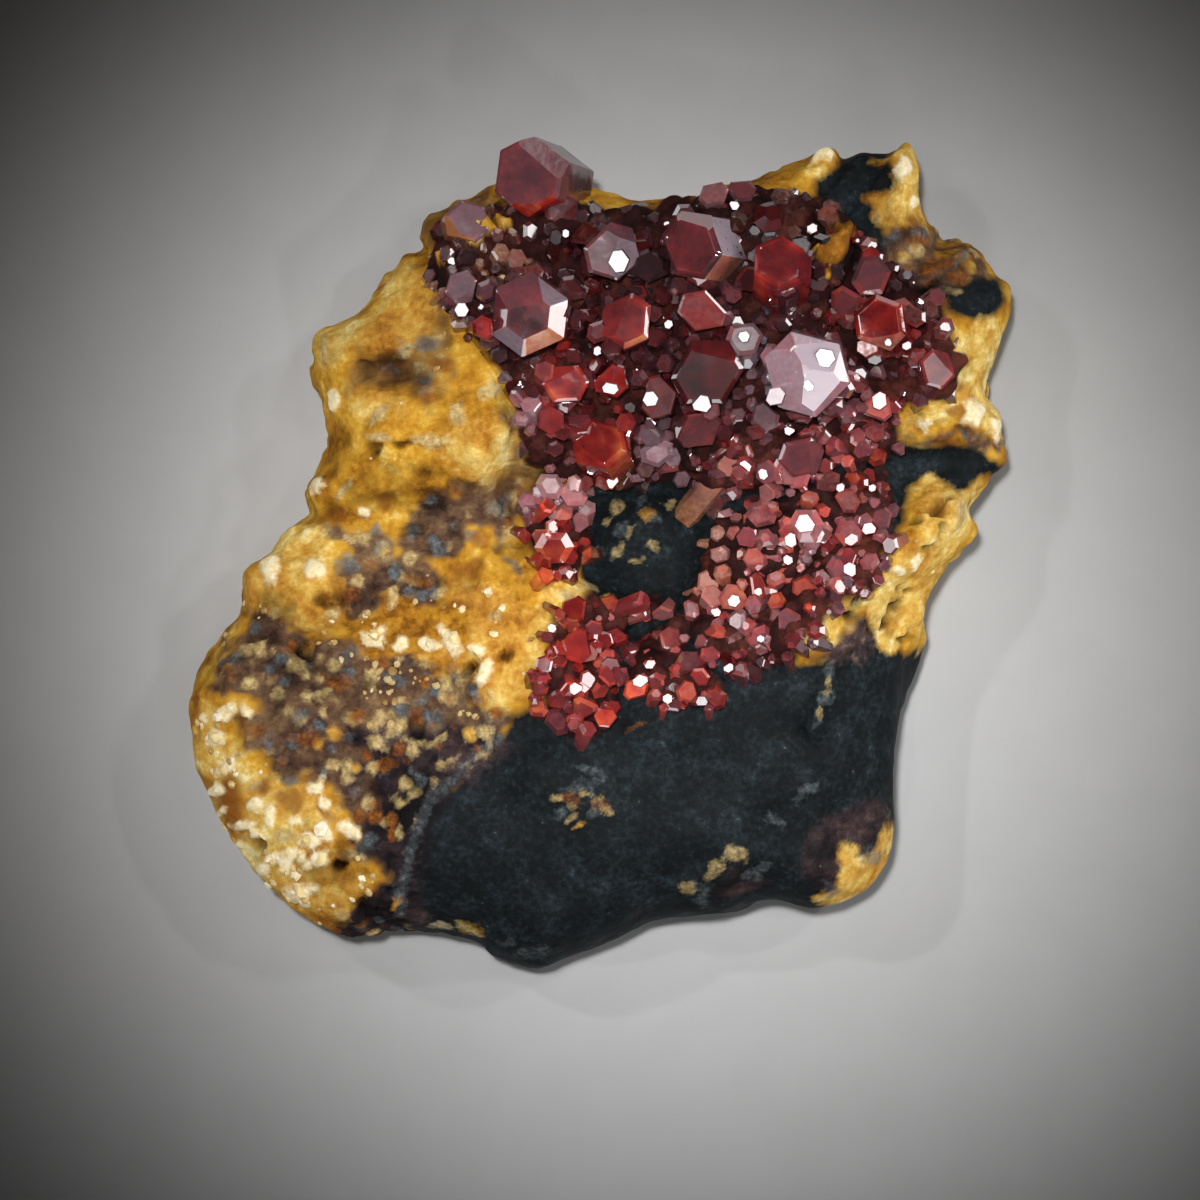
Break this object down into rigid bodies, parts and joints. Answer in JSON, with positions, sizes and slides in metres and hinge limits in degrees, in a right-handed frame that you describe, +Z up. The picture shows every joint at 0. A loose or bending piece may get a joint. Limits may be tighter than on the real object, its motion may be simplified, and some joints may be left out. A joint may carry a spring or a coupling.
{
  "type": "vanadinite on matrix",
  "caption": "Cluster of red six-sided vanadinite crystals on a loose piece of dark rock crusted with ochre, lying on its flat broken back.",
  "frame": {"origin": "on the surface that the specimen lies on, below the middle of its bounding box", "axes": "+Z up out of the crystal face; +Y towards the top of the specimen, where the largest crystals are; +X to the right when looking down on the crystals"},
  "size_m": [0.0412, 0.0419, 0.015],
  "materials": {
    "matrix_rock": "rough manganese-stained rock under earthy yellow limonite",
    "vanadinite_crystal": "deep red, nearly opaque, with a resinous to adamantine lustre",
    "vanadinite_crust": "crust of small red crystals with a resinous lustre"
  },
  "bodies": {
    "root": {"matrix": "matrix_rock", "crust_crown": "vanadinite_crust", "crust_right": "vanadinite_crust", "crust_left_spur": "vanadinite_crust", "crust_lower_left": "vanadinite_crust", "crust_lower_middle": "vanadinite_crust", "crystal_top_edge": "vanadinite_crystal", "crystal_upper_left": "vanadinite_crystal", "crystal_left_small": "vanadinite_crystal", "crystal_left_rounded": "vanadinite_crystal", "crystal_upper_middle": "vanadinite_crystal", "crystal_window": "vanadinite_crystal", "crystal_red_block": "vanadinite_crystal", "crystal_rose": "vanadinite_crystal", "crystal_stepped": "vanadinite_crystal", "crystal_framed": "vanadinite_crystal", "crystal_right_pink": "vanadinite_crystal", "crystal_deep_red": "vanadinite_crystal", "crystal_ember": "vanadinite_crystal", "crystal_red_left": "vanadinite_crystal", "crystal_lath": "vanadinite_crystal", "crystal_lower_right": "vanadinite_crystal"}
  },
  "joints": []
}
